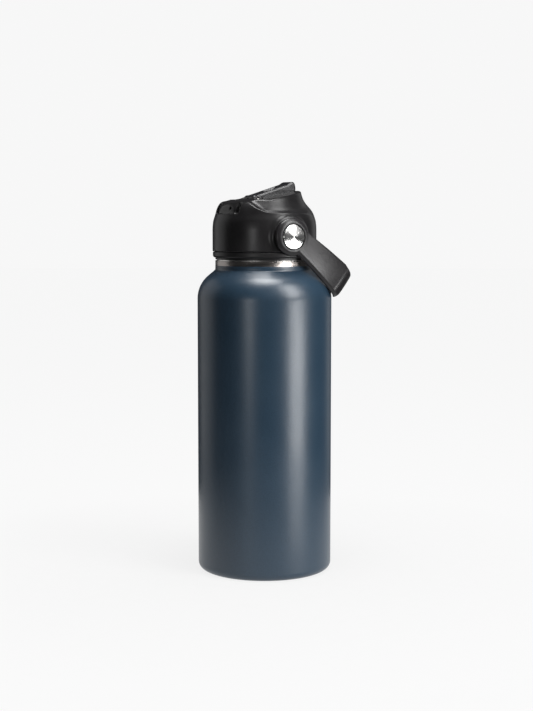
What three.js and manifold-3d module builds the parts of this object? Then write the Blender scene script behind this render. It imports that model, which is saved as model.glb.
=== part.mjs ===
// Insulated wide-mouth water bottle, 1 litre, with a flip-spout straw lid and a swinging bail handle.
// Millimetres, +Z up. The origin is on the bottle's axis in the plane that it stands on. The spout points
// to +X, the handle's pivots lie on the Y axis's two sides, and the handle is folded down towards +X.

import * as THREE from 'three';
import { mergeVertices } from 'three/addons/utils/BufferGeometryUtils.js';
import Module from 'manifold-3d';

const wasm = await Module();
wasm.setup();

// ---------- driving dimensions ----------

const GAP = 0.3; // assembly gap between touching pieces
const ROUND = 40; // facets round the bottle
const ROUND_SMALL = 16; // facets round small turned pieces

const BODY_RADIUS = 45;
const WALL = 0.8; // steel sheet
const FOOT_RADIUS = 5; // bottom corner
const FOOT_RING_INNER = 36;
const SHOULDER_Z = 183.7; // where the straight wall ends
const SHOULDER_RADIUS = 20;
const SHOULDER_SWEEP = THREE.MathUtils.degToRad(50); // then a straight cone up to the neck
const LIP_RADIUS = 33; // the outer wall's collar round the neck; its top 3.3 mm is left bare
const LIP_TOP_Z = 209.3;

const FLASK_RADIUS = 42.2;
const FLASK_BOTTOM_Z = 7;
const FLASK_CORNER = 8;
const FLASK_SHOULDER_RADIUS = 17.2;
const NECK_RADIUS = 31.9; // bare steel neck, outside
const NECK_BORE = 31.1;
const MOUTH_Z = 213.6;

const THREAD_PITCH = 5;
const THREAD_START_Z = 203.2; // middle of the rolled thread's lower end
const NECK_THREAD_TURNS = 1.25;
const PLUG_THREAD_TURNS = 1;
const THREAD_DROP = 1.85; // how far the plug's thread runs below the neck's
const THREAD_ROOT_HALF = 1.2;
const THREAD_CREST_HALF = 0.6;

const PLUG_RADIUS = 28.4;
const PLUG_WALL = 1.8;
const PLUG_BOTTOM_Z = 197.5;
const CHIMNEY_BORE = 10.6; // drinking chamber between the straw and the spout's seal
const CHIMNEY_TOP_Z = 233;
const RING_RADIUS = 33.9; // the liner's ring that shows below the cap
const RING_BOTTOM_Z = 211.4;
const SKIRT_RADIUS = 32.9; // thin skirt that closes the gap between the ring and the steel collar
const SKIRT_BOTTOM_Z = 210;
const SEAM_Z = 215;
const FLANGE_Z = 215.7;
const COLLAR_RADIUS = 32.9; // the liner's collar inside the cap
const VENT_X = 18; // the vent valve in the plug's floor
const SEAL_X = -8.5; // the spout's seal and its port

const CAP_RADIUS = 34.3;
const CAP_BOTTOM_Z = 215.4;
const LEDGE_Z = 241.2; // floor of the two finger scoops
const TOP_Z = 251.2; // the sloping top's height on the axis
const TOP_SLOPE = 0.19; // its rise per millimetre towards +X
const SADDLE_SQUEEZE = 0.85; // the scooped dome is narrower across than along
const BLOCK_X = -22.5; // front of the full-width block at the back of the lid
const BLOCK_LEAN = 0.8;

const HUMP_HALF = 9.6; // the ridge behind the spout, which carries the hinge pin in its two ears
const HUMP_BACK_X = -26;
const HUMP_FRONT_X = -6.2;
const HUMP_FRONT_Z = 252.5;
const HUMP_SLOPE = 0.324; // the same rise as the closed spout's top

const HINGE_X = -10;
const HINGE_Z = 249.6;
const BARREL_RADIUS = 3;
const SPOUT_HALF = 6.5;
const CHANNEL_HALF = SPOUT_HALF + 0.4;
const CHANNEL_END_X = 21.4;
const CHANNEL_FLOOR_Z = 246.3;
const PIN_RADIUS = 1;

const PIVOT_Z = 225.3;
const PIVOT_FLAT = 33.2; // flat spot in the cap's side that the bush sits on
const HUB_RADIUS = 12.4;
const HUB_INNER = 34.6;
const HUB_FACE = 38.5;
const STRAP = 3.6; // handle thickness
const STRAP_OUTER = 38.4;
const STRAP_HALF = 11; // the widest that the handle gets, either way from its centre line
const ARM_TOP_START = 9.0; // the arms widen from the hubs to the bow
const ARM_TOP_END = 10.7;
const ARM_LOW_START = -6.8;
const ARM_LOW_END = -9.4;
const HANDLE_REST = THREE.MathUtils.degToRad(38.7); // below the horizontal
const CORNER_U = 46.1; // where the arms start to turn in
const CORNER_RADIUS = 9;
const CORNER_TURN = THREE.MathUtils.degToRad(62);
const DISC_RADIUS = 8;

const STRAW_BORE = 3.9;
const STRAW_RADIUS = 4.7;
const STRAW_BOTTOM_Z = 17;

// ---------- materials ----------

function finish(color, roughness, metalness) {
  return new THREE.MeshStandardMaterial({ color, roughness, metalness });
}

const powderCoat = () => finish(0x24384a, 0.5, 0.3);
const brushedSteel = () => finish(0x9a948e, 0.28, 1);
const blackPlastic = () => finish(0x1b1a1c, 0.45, 0);
const softPlastic = () => finish(0x222024, 0.55, 0);
const clearPlastic = () => finish(0xc8ccd0, 0.3, 0);
const silicone = () => finish(0xb9bcc0, 0.6, 0);

// ---------- geometry helpers ----------

// Turns the faces outwards if the closed surface encloses a negative volume.
function facingOut(geometry) {
  const position = geometry.getAttribute('position');
  const index = geometry.index.array;
  const [a, b, c] = [new THREE.Vector3(), new THREE.Vector3(), new THREE.Vector3()];
  let volume = 0;
  for (let i = 0; i < index.length; i += 3) {
    a.fromBufferAttribute(position, index[i]);
    b.fromBufferAttribute(position, index[i + 1]);
    c.fromBufferAttribute(position, index[i + 2]);
    volume += a.dot(b.cross(c));
  }
  if (volume < 0) {
    for (let i = 0; i < index.length; i += 3) {
      [index[i], index[i + 1]] = [index[i + 1], index[i]];
    }
  }
  return geometry;
}

// Keeps only positions, shares the vertices and drops triangles that have no area.
function closedSurface(geometry) {
  geometry.deleteAttribute('normal');
  geometry.deleteAttribute('uv');
  geometry.clearGroups();
  const merged = mergeVertices(geometry, 1e-4);
  const kept = [];
  const index = merged.index.array;
  for (let i = 0; i < index.length; i += 3) {
    const [p, q, r] = [index[i], index[i + 1], index[i + 2]];
    if (p !== q && q !== r && r !== p) {
      kept.push(p, q, r);
    }
  }
  merged.setIndex(kept);
  return facingOut(merged);
}

// A solid of revolution about Z from [radius, height] points.
function revolve(outline, segments = ROUND) {
  const loop = outline.map(([r, z]) => new THREE.Vector2(r, z));
  const onAxis = outline[0][0] === 0 && outline[outline.length - 1][0] === 0;
  if (!onAxis) {
    loop.push(loop[0].clone());
  }
  return closedSurface(new THREE.LatheGeometry(loop, segments).rotateX(Math.PI / 2));
}

// A shape drawn in X and Z, extruded from y = from to y = to.
function prismAlongY(shape, from, to, curveSegments = 8) {
  const geometry = new THREE.ExtrudeGeometry(shape, { depth: to - from, bevelEnabled: false, curveSegments });
  return closedSurface(geometry.rotateX(Math.PI / 2).translate(0, to, 0));
}

// A shape drawn in X and Y, extruded from z = from to z = to.
function prismAlongZ(shape, from, to, curveSegments = 8) {
  const geometry = new THREE.ExtrudeGeometry(shape, { depth: to - from, bevelEnabled: false, curveSegments });
  return closedSurface(geometry.translate(0, 0, from));
}

function polygon(points) {
  return new THREE.Shape(points.map(([x, y]) => new THREE.Vector2(x, y)));
}

function block(x0, x1, y0, y1, z0, z1) {
  const geometry = new THREE.BoxGeometry(x1 - x0, y1 - y0, z1 - z0);
  return closedSurface(geometry.translate((x0 + x1) / 2, (y0 + y1) / 2, (z0 + z1) / 2));
}

// A turned piece whose axis runs outwards along +Y (side 1) or -Y (side -1) at x, z.
function turnedAlongY(outline, side, x, z, segments = ROUND_SMALL) {
  const geometry = revolve(outline, segments).rotateX(-side * Math.PI / 2);
  return geometry.translate(x, 0, z);
}

function rodAlongY(radius, y0, y1, x, z, segments = ROUND_SMALL) {
  return turnedAlongY([[0, y0], [radius, y0], [radius, y1], [0, y1]], 1, x, z, segments);
}

function solid(geometry) {
  const shared = closedSurface(geometry.clone());
  const vertProperties = new Float32Array(shared.getAttribute('position').array);
  const triVerts = new Uint32Array(shared.index.array);
  return new wasm.Manifold(new wasm.Mesh({ numProp: 3, vertProperties, triVerts }));
}

function surface(manifold) {
  const mesh = manifold.getMesh();
  const geometry = new THREE.BufferGeometry();
  geometry.setAttribute('position', new THREE.BufferAttribute(new Float32Array(mesh.vertProperties), 3));
  geometry.setIndex(Array.from(mesh.triVerts));
  return geometry;
}

function joined(...geometries) {
  return surface(geometries.map(solid).reduce((whole, next) => whole.add(next)));
}

function cut(geometry, ...tools) {
  return surface(tools.map(solid).reduce((whole, tool) => whole.subtract(tool), solid(geometry)));
}

function common(geometry, tool) {
  return surface(solid(geometry).intersect(solid(tool)));
}

// Points of an arc about (centreR, centreZ), in [radius, height] pairs.
function arc(centreR, centreZ, radius, from, to, steps) {
  return Array.from({ length: steps + 1 }, (_, i) => {
    const angle = from + (to - from) * i / steps;
    return [centreR + radius * Math.cos(angle), centreZ + radius * Math.sin(angle)];
  });
}

// A screw thread's ridge: a trapezium of four corners swept up a helix, with closed ends.
function threadRidge(rootRadius, crestRadius, startZ, turns) {
  const stepsPerTurn = 32;
  const steps = Math.round(turns * stepsPerTurn);
  const corners = [
    [rootRadius, -THREAD_ROOT_HALF],
    [crestRadius, -THREAD_CREST_HALF],
    [crestRadius, THREAD_CREST_HALF],
    [rootRadius, THREAD_ROOT_HALF],
  ];
  const positions = [];
  const index = [];
  for (let i = 0; i <= steps; i += 1) {
    const angle = i / stepsPerTurn * 2 * Math.PI;
    const rise = startZ + i / stepsPerTurn * THREAD_PITCH;
    for (const [radius, dz] of corners) {
      positions.push(radius * Math.cos(angle), radius * Math.sin(angle), rise + dz);
    }
  }
  const count = corners.length;
  for (let i = 0; i < steps; i += 1) {
    for (let k = 0; k < count; k += 1) {
      const [p, q] = [i * count + k, i * count + (k + 1) % count];
      index.push(p, q, q + count, p, q + count, p + count);
    }
  }
  const last = steps * count;
  index.push(0, 2, 1, 0, 3, 2, last, last + 1, last + 2, last, last + 2, last + 3);
  const geometry = new THREE.BufferGeometry();
  geometry.setAttribute('position', new THREE.Float32BufferAttribute(positions, 3));
  geometry.setIndex(index);
  return facingOut(geometry);
}

// The shoulder: an arc from the straight wall, then a straight cone in to the neck's radius.
function shoulder(radius, neckRadius, steps) {
  const centreR = BODY_RADIUS - SHOULDER_RADIUS;
  const curve = arc(centreR, SHOULDER_Z, radius, 0, SHOULDER_SWEEP, steps);
  const [endR, endZ] = curve[steps];
  const coneRise = (endR - neckRadius) / Math.tan(SHOULDER_SWEEP);
  return [...curve, [neckRadius, endZ + coneRise]];
}

// ---------- the bottle ----------

function outerWall() {
  const footCentre = BODY_RADIUS - FOOT_RADIUS;
  const outside = [
    [FOOT_RING_INNER, 0],
    ...arc(footCentre, FOOT_RADIUS, FOOT_RADIUS, -Math.PI / 2, 0, 4),
    ...shoulder(SHOULDER_RADIUS, LIP_RADIUS, 6),
    [LIP_RADIUS, LIP_TOP_Z],
  ];
  const inside = [
    [FOOT_RING_INNER, WALL],
    ...arc(footCentre, FOOT_RADIUS, FOOT_RADIUS - WALL, -Math.PI / 2, 0, 4),
    ...shoulder(SHOULDER_RADIUS - WALL, LIP_RADIUS - WALL, 6),
    [LIP_RADIUS - WALL, LIP_TOP_Z],
  ];
  return revolve([...outside, ...inside.reverse()]);
}

function innerFlask() {
  const sheet = 0.7;
  const cornerR = FLASK_RADIUS - FLASK_CORNER;
  const cornerZ = FLASK_BOTTOM_Z + FLASK_CORNER;
  const outside = [
    [0, FLASK_BOTTOM_Z],
    ...arc(cornerR, cornerZ, FLASK_CORNER, -Math.PI / 2, 0, 4),
    ...shoulder(FLASK_SHOULDER_RADIUS, NECK_RADIUS, 5),
    [NECK_RADIUS, MOUTH_Z],
  ];
  const inside = [
    [0, FLASK_BOTTOM_Z + sheet],
    ...arc(cornerR, cornerZ, FLASK_CORNER - sheet, -Math.PI / 2, 0, 4),
    ...shoulder(FLASK_SHOULDER_RADIUS - sheet, NECK_BORE, 5),
    [NECK_BORE, MOUTH_Z],
  ];
  const shell = revolve([...outside, ...inside.reverse()]);
  const bead = threadRidge(NECK_BORE + 0.4, NECK_BORE - 1.3, THREAD_START_Z, NECK_THREAD_TURNS);
  return joined(shell, bead);
}

const BASE_Z = WALL + GAP;

function vacuumBase() {
  const port = 1.6;
  return revolve([[port, BASE_Z], [39.4, BASE_Z], [39.4, BASE_Z + WALL], [port, BASE_Z + WALL]], 40);
}

function vacuumSealPlug() {
  const low = BASE_Z + 0.1;
  const radius = 1.2;
  return revolve([[0, low], [radius, low], [radius, BASE_Z + WALL], [0, BASE_Z + WALL + 0.3]], 12);
}

function getterDisc() {
  const bottom = BASE_Z + WALL + GAP + 0.2;
  return revolve([[0, bottom], [6, bottom], [6, bottom + 1.2], [5, bottom + 1.6], [0, bottom + 1.6]], 16)
    .translate(16, 0, 0);
}

function baseCover() {
  const edge = FOOT_RING_INNER - GAP;
  return revolve([[0, GAP], [edge, GAP], [edge, WALL], [0, WALL]], ROUND);
}

// ---------- the lid ----------

const underTop = () => {
  const reach = 60;
  return prismAlongY(polygon([
    [-reach, 0],
    [reach, 0],
    [reach, TOP_Z + TOP_SLOPE * reach],
    [-reach, TOP_Z - TOP_SLOPE * reach],
  ]), -reach, reach);
};

function lidCap() {
  const full = revolve([
    [0, CAP_BOTTOM_Z],
    [CAP_RADIUS, CAP_BOTTOM_Z],
    [CAP_RADIUS, 233.5],
    [33.9, 236],
    [33.1, 239],
    [32.3, 242.5],
    [31.3, 245.4],
    [29.6, 247.2],
    [0, 248.5],
  ]);
  const saddle = revolve([
    [0, 230],
    [33, 230],
    [32.3, 242],
    [29.8, 245.8],
    [27.7, 249.1],
    [26.3, 251.8],
    [25.1, 255.1],
    [24.8, 258],
    [0, 258],
  ]).scale(1, SADDLE_SQUEEZE, 1);
  const lower = common(full, block(-50, 50, -50, 50, 200, LEDGE_Z));
  const blockTop = 250;
  const rear = common(full, prismAlongY(polygon([
    [-50, LEDGE_Z - 3],
    [BLOCK_X + BLOCK_LEAN * (247 - LEDGE_Z + 3), LEDGE_Z - 3],
    [BLOCK_X - BLOCK_LEAN * (blockTop - 247), blockTop],
    [-50, blockTop],
  ]), -50, 50));
  const humpLow = 244;
  const humpFront = HUMP_FRONT_X - 1.2;
  const hump = prismAlongY(polygon([
    [HUMP_BACK_X, humpLow],
    [HUMP_FRONT_X, humpLow],
    [HUMP_FRONT_X, HUMP_FRONT_Z - 2],
    [humpFront, HUMP_FRONT_Z],
    [HUMP_BACK_X, HUMP_FRONT_Z + HUMP_SLOPE * (HUMP_BACK_X - humpFront)],
  ]), -HUMP_HALF, HUMP_HALF);
  const outside = joined(common(joined(lower, saddle, rear), underTop()), hump);

  const hollow = revolve([
    [0, 200],
    [PLUG_RADIUS + 4.8, 200],
    [PLUG_RADIUS + 4.8, 219.3],
    [31.6, 219.3],
    [31.6, 231],
    [27, 237.8],
    [13, 238],
    [13, 243.9],
    [0, 243.9],
  ], 40);
  const notch = block(-50, -25, -15.5, 15.5, 240.3, 260);
  const channel = block(HINGE_X, CHANNEL_END_X, -CHANNEL_HALF, CHANNEL_HALF, CHANNEL_FLOOR_Z, 270);
  const barrelPocket = rodAlongY(BARREL_RADIUS + 0.4, -CHANNEL_HALF, CHANNEL_HALF, HINGE_X, HINGE_Z);
  const pocketTop = block(HINGE_X - BARREL_RADIUS - 0.4, HINGE_X, -CHANNEL_HALF, CHANNEL_HALF, HINGE_Z, 270);
  const sealHole = revolve([[0, 240], [4.3, 240], [4.3, 248], [0, 248]], 16).translate(SEAL_X, 0, 0);
  let cap = cut(outside, hollow, notch, channel, barrelPocket, pocketTop, sealHole);

  const island = common(
    common(block(-29.4, -24, -11.2, 11.2, 239.5, 260), underTop()),
    revolve([[0, 238.5], [30.4, 238.5], [30.4, 243], [29, 247], [0, 247]]),
  );
  const boss = (side) => turnedAlongY([[0, 26], [5.6, 26], [5.6, 32.5], [0, 32.5]], side, 0, PIVOT_Z);
  cap = joined(cap, island, boss(1), boss(-1));

  const pinHole = rodAlongY(PIN_RADIUS + 0.3, -HUMP_HALF - 0.2, HUMP_HALF + 0.2, HINGE_X, HINGE_Z, 12);
  const pivotCut = (side) => turnedAlongY([
    [0, 25], [2.3, 25], [2.3, PIVOT_FLAT], [5.6, PIVOT_FLAT], [5.6, 40], [0, 40],
  ], side, 0, PIVOT_Z, 24);
  return cut(cap, pinHole, pivotCut(1), pivotCut(-1));
}

function lidLiner() {
  const bore = NECK_RADIUS + 0.4;
  const innerPlug = PLUG_RADIUS - PLUG_WALL;
  const floorTop = PLUG_BOTTOM_Z + PLUG_WALL;
  const shell = revolve([
    [2.4, 189],
    [3.6, 189],
    [3.6, PLUG_BOTTOM_Z],
    [PLUG_RADIUS - 0.5, PLUG_BOTTOM_Z],
    [PLUG_RADIUS, PLUG_BOTTOM_Z + 0.5],
    [PLUG_RADIUS, FLANGE_Z],
    [bore, FLANGE_Z],
    [bore, SKIRT_BOTTOM_Z],
    [SKIRT_RADIUS, SKIRT_BOTTOM_Z],
    [SKIRT_RADIUS, RING_BOTTOM_Z],
    [RING_RADIUS - 0.7, RING_BOTTOM_Z],
    [RING_RADIUS, RING_BOTTOM_Z + 1],
    [RING_RADIUS, SEAM_Z],
    [COLLAR_RADIUS, SEAM_Z],
    [COLLAR_RADIUS, 219],
    [31.9, 219],
    [31.9, 217.5],
    [innerPlug, 217.5],
    [innerPlug, floorTop],
    [CHIMNEY_BORE + 1.6, floorTop],
    [CHIMNEY_BORE + 1.6, CHIMNEY_TOP_Z],
    [CHIMNEY_BORE, CHIMNEY_TOP_Z],
    [CHIMNEY_BORE, floorTop],
    [2.4, floorTop],
  ]);
  const ridge = threadRidge(
    PLUG_RADIUS - 0.4, PLUG_RADIUS + 2.2, THREAD_START_Z - THREAD_DROP, PLUG_THREAD_TURNS,
  );
  const ventHole = revolve([[0, 190], [1.5, 190], [1.5, 205], [0, 205]], 12).translate(VENT_X, 0, 0);
  return cut(joined(shell, ridge), ventHole);
}

function lidGasket() {
  const bottom = MOUTH_Z + GAP;
  return revolve([[30.95, bottom], [32, bottom], [32, bottom + 1.5], [30.95, bottom + 1.5]]);
}

function ventValve() {
  const skirt = PLUG_BOTTOM_Z - GAP;
  return revolve([
    [0, skirt - 1.3],
    [2.5, skirt - 1.1],
    [4, skirt - 0.3],
    [4, skirt],
    [1.1, skirt],
    [1.1, 199.7],
    [2, 199.7],
    [1.1, 202],
    [0, 202],
  ], 16).translate(VENT_X, 0, 0);
}

function spoutSeal() {
  const discBottom = CHIMNEY_TOP_Z + GAP;
  const discRadius = 12;
  const discTop = discBottom + 2.5;
  const disc = revolve([[0, discBottom], [discRadius, discBottom], [discRadius, discTop], [0, discTop]], 32);
  const riserTop = HINGE_Z - BARREL_RADIUS - GAP;
  const riser = revolve([[0, discBottom + 1], [4, discBottom + 1], [4, riserTop], [0, riserTop]], 16);
  const port = revolve([[0, 230], [1.8, 230], [1.8, 250], [0, 250]], 12);
  return cut(joined(disc, riser.translate(SEAL_X, 0, 0)), port.translate(SEAL_X, 0, 0));
}

function straw() {
  const top = PLUG_BOTTOM_Z - 0.6;
  return revolve([
    [STRAW_BORE, STRAW_BOTTOM_Z], [STRAW_RADIUS, STRAW_BOTTOM_Z], [STRAW_RADIUS, top], [STRAW_BORE, top],
  ], 24);
}

function spout() {
  const profile = new THREE.Shape();
  profile.moveTo(HINGE_X, HINGE_Z - BARREL_RADIUS);
  profile.lineTo(-4, CHANNEL_FLOOR_Z + 0.6);
  profile.lineTo(17, 250.6);
  profile.lineTo(20.4, 253.6);
  profile.lineTo(20.8, 257);
  profile.quadraticCurveTo(20.4, 261.6, 18.4, 261.7);
  profile.quadraticCurveTo(17, 261.7, 14.7, 259.9);
  profile.lineTo(-7.5, 252.7);
  profile.absarc(HINGE_X, HINGE_Z, BARREL_RADIUS, Math.PI / 2 - 0.2, 3 * Math.PI / 2, false);
  const body = prismAlongY(profile, -SPOUT_HALF, SPOUT_HALF, 6);
  const pinBore = rodAlongY(PIN_RADIUS + 0.3, -10, 10, HINGE_X, HINGE_Z, 12);
  const passageRise = Math.atan2(256.6 - HINGE_Z, 20.8 - HINGE_X);
  const passage = revolve([[0, -8], [1.7, -8], [1.7, 40], [0, 40]], 12)
    .rotateY(Math.PI / 2 - passageRise)
    .translate(HINGE_X, 0, HINGE_Z);
  return cut(body, passage, pinBore);
}

function spoutPin() {
  return rodAlongY(PIN_RADIUS, -HUMP_HALF + 0.4, HUMP_HALF - 0.4, HINGE_X, HINGE_Z, 12);
}

// ---------- the handle ----------

// The hoop seen square on: arms along u, turned corners and a bowed bridge, as a band of one thickness.
function hoopBand() {
  const startU = -4;
  const cornerY = STRAP_OUTER - CORNER_RADIUS;
  const joinAngle = Math.PI / 2 - CORNER_TURN;
  const joinY = cornerY + CORNER_RADIUS * Math.sin(joinAngle);
  const bowRadius = joinY / Math.sin(joinAngle);
  const bowCentre = CORNER_U + CORNER_RADIUS * Math.cos(joinAngle) - bowRadius * Math.cos(joinAngle);
  const band = new THREE.Shape();
  band.moveTo(startU, -STRAP_OUTER);
  band.lineTo(CORNER_U, -STRAP_OUTER);
  band.absarc(CORNER_U, -cornerY, CORNER_RADIUS, -Math.PI / 2, -joinAngle, false);
  band.absarc(bowCentre, 0, bowRadius, -joinAngle, joinAngle, false);
  band.absarc(CORNER_U, cornerY, CORNER_RADIUS, joinAngle, Math.PI / 2, false);
  band.lineTo(startU, STRAP_OUTER);
  band.lineTo(startU, STRAP_OUTER - STRAP);
  band.lineTo(CORNER_U, STRAP_OUTER - STRAP);
  band.absarc(CORNER_U, cornerY, CORNER_RADIUS - STRAP, Math.PI / 2, joinAngle, true);
  band.absarc(bowCentre, 0, bowRadius - STRAP, joinAngle, -joinAngle, true);
  band.absarc(CORNER_U, -cornerY, CORNER_RADIUS - STRAP, -joinAngle, -Math.PI / 2, true);
  band.lineTo(startU, -STRAP_OUTER + STRAP);
  return prismAlongZ(band, -STRAP_HALF - 1, STRAP_HALF + 1, 7);
}

// The hoop seen from the side: arms that widen outwards, and an underside that rises over the shoulder.
function armOutline() {
  const armStart = 10;
  const bowStart = 51.5;
  const bridgeU = 61.5;
  const bridgeLow = -0.4;
  const end = 66;
  const side = new THREE.Shape();
  side.moveTo(0, ARM_LOW_START);
  side.lineTo(armStart, ARM_LOW_START);
  side.lineTo(bowStart, ARM_LOW_END);
  side.quadraticCurveTo(bowStart + 4, ARM_LOW_END, bowStart + 5.5, -5);
  side.quadraticCurveTo(bridgeU - 2, bridgeLow, bridgeU, bridgeLow);
  side.lineTo(end, bridgeLow);
  side.lineTo(end, ARM_TOP_END);
  side.lineTo(CORNER_U, ARM_TOP_END);
  side.lineTo(armStart, ARM_TOP_START);
  side.lineTo(0, ARM_TOP_START);
  return prismAlongY(side, -50, 50, 6);
}

function handle() {
  const hub = (side) => turnedAlongY([
    [0, HUB_INNER], [HUB_RADIUS, HUB_INNER], [HUB_RADIUS, HUB_FACE - 1.6], [9.8, HUB_FACE], [0, HUB_FACE],
  ], side, 0, 0, 28);
  const bore = (side) => turnedAlongY([
    [0, 30], [5.3, 30], [5.3, 35.4], [DISC_RADIUS + 0.3, 35.4], [DISC_RADIUS + 0.3, 45], [0, 45],
  ], side, 0, 0, 32);
  const clearance = 0.7;
  const bottleBelow = revolve([
    [0, SHOULDER_Z - 30],
    [BODY_RADIUS + clearance, SHOULDER_Z - 30],
    ...shoulder(SHOULDER_RADIUS + clearance, LIP_RADIUS, 8),
    [0, LIP_TOP_Z],
  ], 48).translate(0, 0, -PIVOT_Z).rotateY(-HANDLE_REST);
  const hoop = common(hoopBand(), armOutline());
  return cut(joined(hoop, hub(1), hub(-1)), bore(1), bore(-1), bottleBelow);
}

const pivotBush = (side) => turnedAlongY([
  [2.3, PIVOT_FLAT + GAP], [5, PIVOT_FLAT + GAP], [5, 35.7], [7.2, 35.7], [7.2, 36.3], [2.3, 36.3],
], side, 0, 0);

const pivotScrew = (side) => turnedAlongY([
  [0, 26.4], [2, 26.4], [2, 36.6], [4.2, 36.6], [4.2, 37.3], [3.6, 37.6], [0, 37.6],
], side, 0, 0, 16);

const pivotDisc = (side) => turnedAlongY([
  [0, 37.9], [DISC_RADIUS, 37.9], [DISC_RADIUS, 38.5], [DISC_RADIUS - 0.4, 38.8], [0, 38.8],
], side, 0, 0, 32);

// ---------- assembly ----------

function piece(name, geometry, material) {
  const mesh = new THREE.Mesh(geometry, material);
  mesh.name = name;
  return mesh;
}

const bottle = new THREE.Group();
bottle.add(
  piece('outer_wall', outerWall(), powderCoat()),
  piece('inner_flask', innerFlask(), brushedSteel()),
  piece('vacuum_base', vacuumBase(), brushedSteel()),
  piece('vacuum_seal_plug', vacuumSealPlug(), brushedSteel()),
  piece('getter_disc', getterDisc(), brushedSteel()),
  piece('base_cover', baseCover(), brushedSteel()),
);

const lid = new THREE.Group();
lid.add(
  piece('lid_cap', lidCap(), blackPlastic()),
  piece('lid_liner', lidLiner(), blackPlastic()),
  piece('lid_gasket', lidGasket(), silicone()),
  piece('vent_valve', ventValve(), silicone()),
  piece('spout_seal', spoutSeal(), silicone()),
  piece('straw', straw(), clearPlastic()),
  piece('spout', spout(), blackPlastic()),
  piece('spout_pin', spoutPin(), brushedSteel()),
);

const bail = new THREE.Group();
bail.position.z = PIVOT_Z;
bail.rotation.y = HANDLE_REST;
bail.add(piece('handle', handle(), softPlastic()));
for (const [side, where] of [[-1, 'right'], [1, 'left']]) {
  bail.add(
    piece(`pivot_disc_${where}`, pivotDisc(side), brushedSteel()),
    piece(`pivot_bush_${where}`, pivotBush(side), clearPlastic()),
    piece(`pivot_screw_${where}`, pivotScrew(side), brushedSteel()),
  );
}

const group = new THREE.Group();
group.add(bottle, lid, bail);

export default group;
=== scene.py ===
import math

import bmesh
import bpy
import mathutils
import numpy as np
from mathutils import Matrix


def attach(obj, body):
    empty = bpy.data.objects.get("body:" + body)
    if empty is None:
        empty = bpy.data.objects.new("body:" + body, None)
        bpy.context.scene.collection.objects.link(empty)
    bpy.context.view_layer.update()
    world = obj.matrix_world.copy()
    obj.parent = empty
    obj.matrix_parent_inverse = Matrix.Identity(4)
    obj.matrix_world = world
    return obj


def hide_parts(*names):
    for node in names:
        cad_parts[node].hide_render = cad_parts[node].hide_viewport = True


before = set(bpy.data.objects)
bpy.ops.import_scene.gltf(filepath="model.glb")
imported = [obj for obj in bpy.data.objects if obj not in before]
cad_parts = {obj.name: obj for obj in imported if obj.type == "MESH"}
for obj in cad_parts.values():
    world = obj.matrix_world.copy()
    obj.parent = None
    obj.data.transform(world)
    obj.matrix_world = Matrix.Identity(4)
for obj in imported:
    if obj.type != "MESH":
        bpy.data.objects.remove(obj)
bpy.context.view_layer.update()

# Lengths of the bottle are millimetres until mesh_piece() turns them into metres.
# The studio, the lights and the depths of bumps are in metres.
MM = 0.001

# ---------- dimensions that the CAD model shares ----------

BODY_R = 45.0
WALL = 0.8
FOOT_R = 5.0
FOOT_INNER = 36.0
SHOULDER_Z = 183.7
SHOULDER_R = 20.0
SHOULDER_SWEEP = math.radians(50)
LIP_R = 33.0
LIP_TOP = 209.3
PAINT_TOP = 206.0
FLASK_R = 42.2
FLASK_Z = 7.0
FLASK_CORNER = 8.0
FLASK_SHOULDER_R = 17.2
FLASK_SHEET = 0.7
NECK_R = 31.9
NECK_BORE = 31.1
MOUTH_Z = 213.6
THREAD_PITCH = 5.0
THREAD_Z = 203.2
THREAD_DROP = 1.85
PLUG_R = 28.4
PLUG_WALL = 1.8
PLUG_Z = 197.5
CHIMNEY_BORE = 10.6
CHIMNEY_TOP = 233.0
RING_Z = 211.4
SKIRT_R = 32.9
SKIRT_Z = 210.0
SEAM_Z = 215.0
FLANGE_Z = 215.7
CAP_Z = 215.4
LEDGE_Z = 241.2
TOP_Z = 251.2
TOP_SLOPE = 0.19
SQUEEZE = 0.85
BLOCK_X = -22.5
BLOCK_LEAN = 0.8
HINGE_X = -10.0
HINGE_Z = 249.6
BARREL_R = 3.0
SPOUT_HALF = 6.5
CHANNEL_HALF = 6.9
CHANNEL_END = 21.4
CHANNEL_FLOOR = 246.3
HUMP_HALF = 9.6
SEAL_X = -8.5
PIVOT_Z = 225.3
PIVOT_FLAT = 33.2
HUB_R = 12.4
HUB_FACE = 38.5
STRAP = 3.6
STRAP_OUTER = 38.4
HANDLE_REST = math.radians(38.7)
CORNER_R = 9.0
CORNER_TURN = math.radians(62)
DISC_R = 8.0
STRAW_BORE = 3.9
STRAW_R = 4.7
STRAW_Z = 17.0

# ---------- dimensions that differ a little from the CAD model's, after the photograph ----------

RING_R = 34.6
HUB_INNER = 35.0
CORNER_U = 47.5


# ---------- signed distance shapes ----------

def both(a, b, edge):
    """What is in a and in b, with the outer edge between them rounded."""
    rounded = np.hypot(np.maximum(a + edge, 0), np.maximum(b + edge, 0))
    return np.minimum(np.maximum(a, b), -edge) + rounded


def either(a, b, cove):
    """What is in a or in b, with the inner corner between them filled."""
    return -both(-a, -b, cove)


def without(a, b, edge):
    return both(a, -b, edge)


def box_field(x, y, z, low, high, edge=0.4):
    """A box with rounded edges."""
    inside = [np.abs(v - (p + q) / 2) - (q - p) / 2 for v, p, q in zip((x, y, z), low, high)]
    return both(both(inside[0], inside[1], edge), inside[2], edge)


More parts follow.
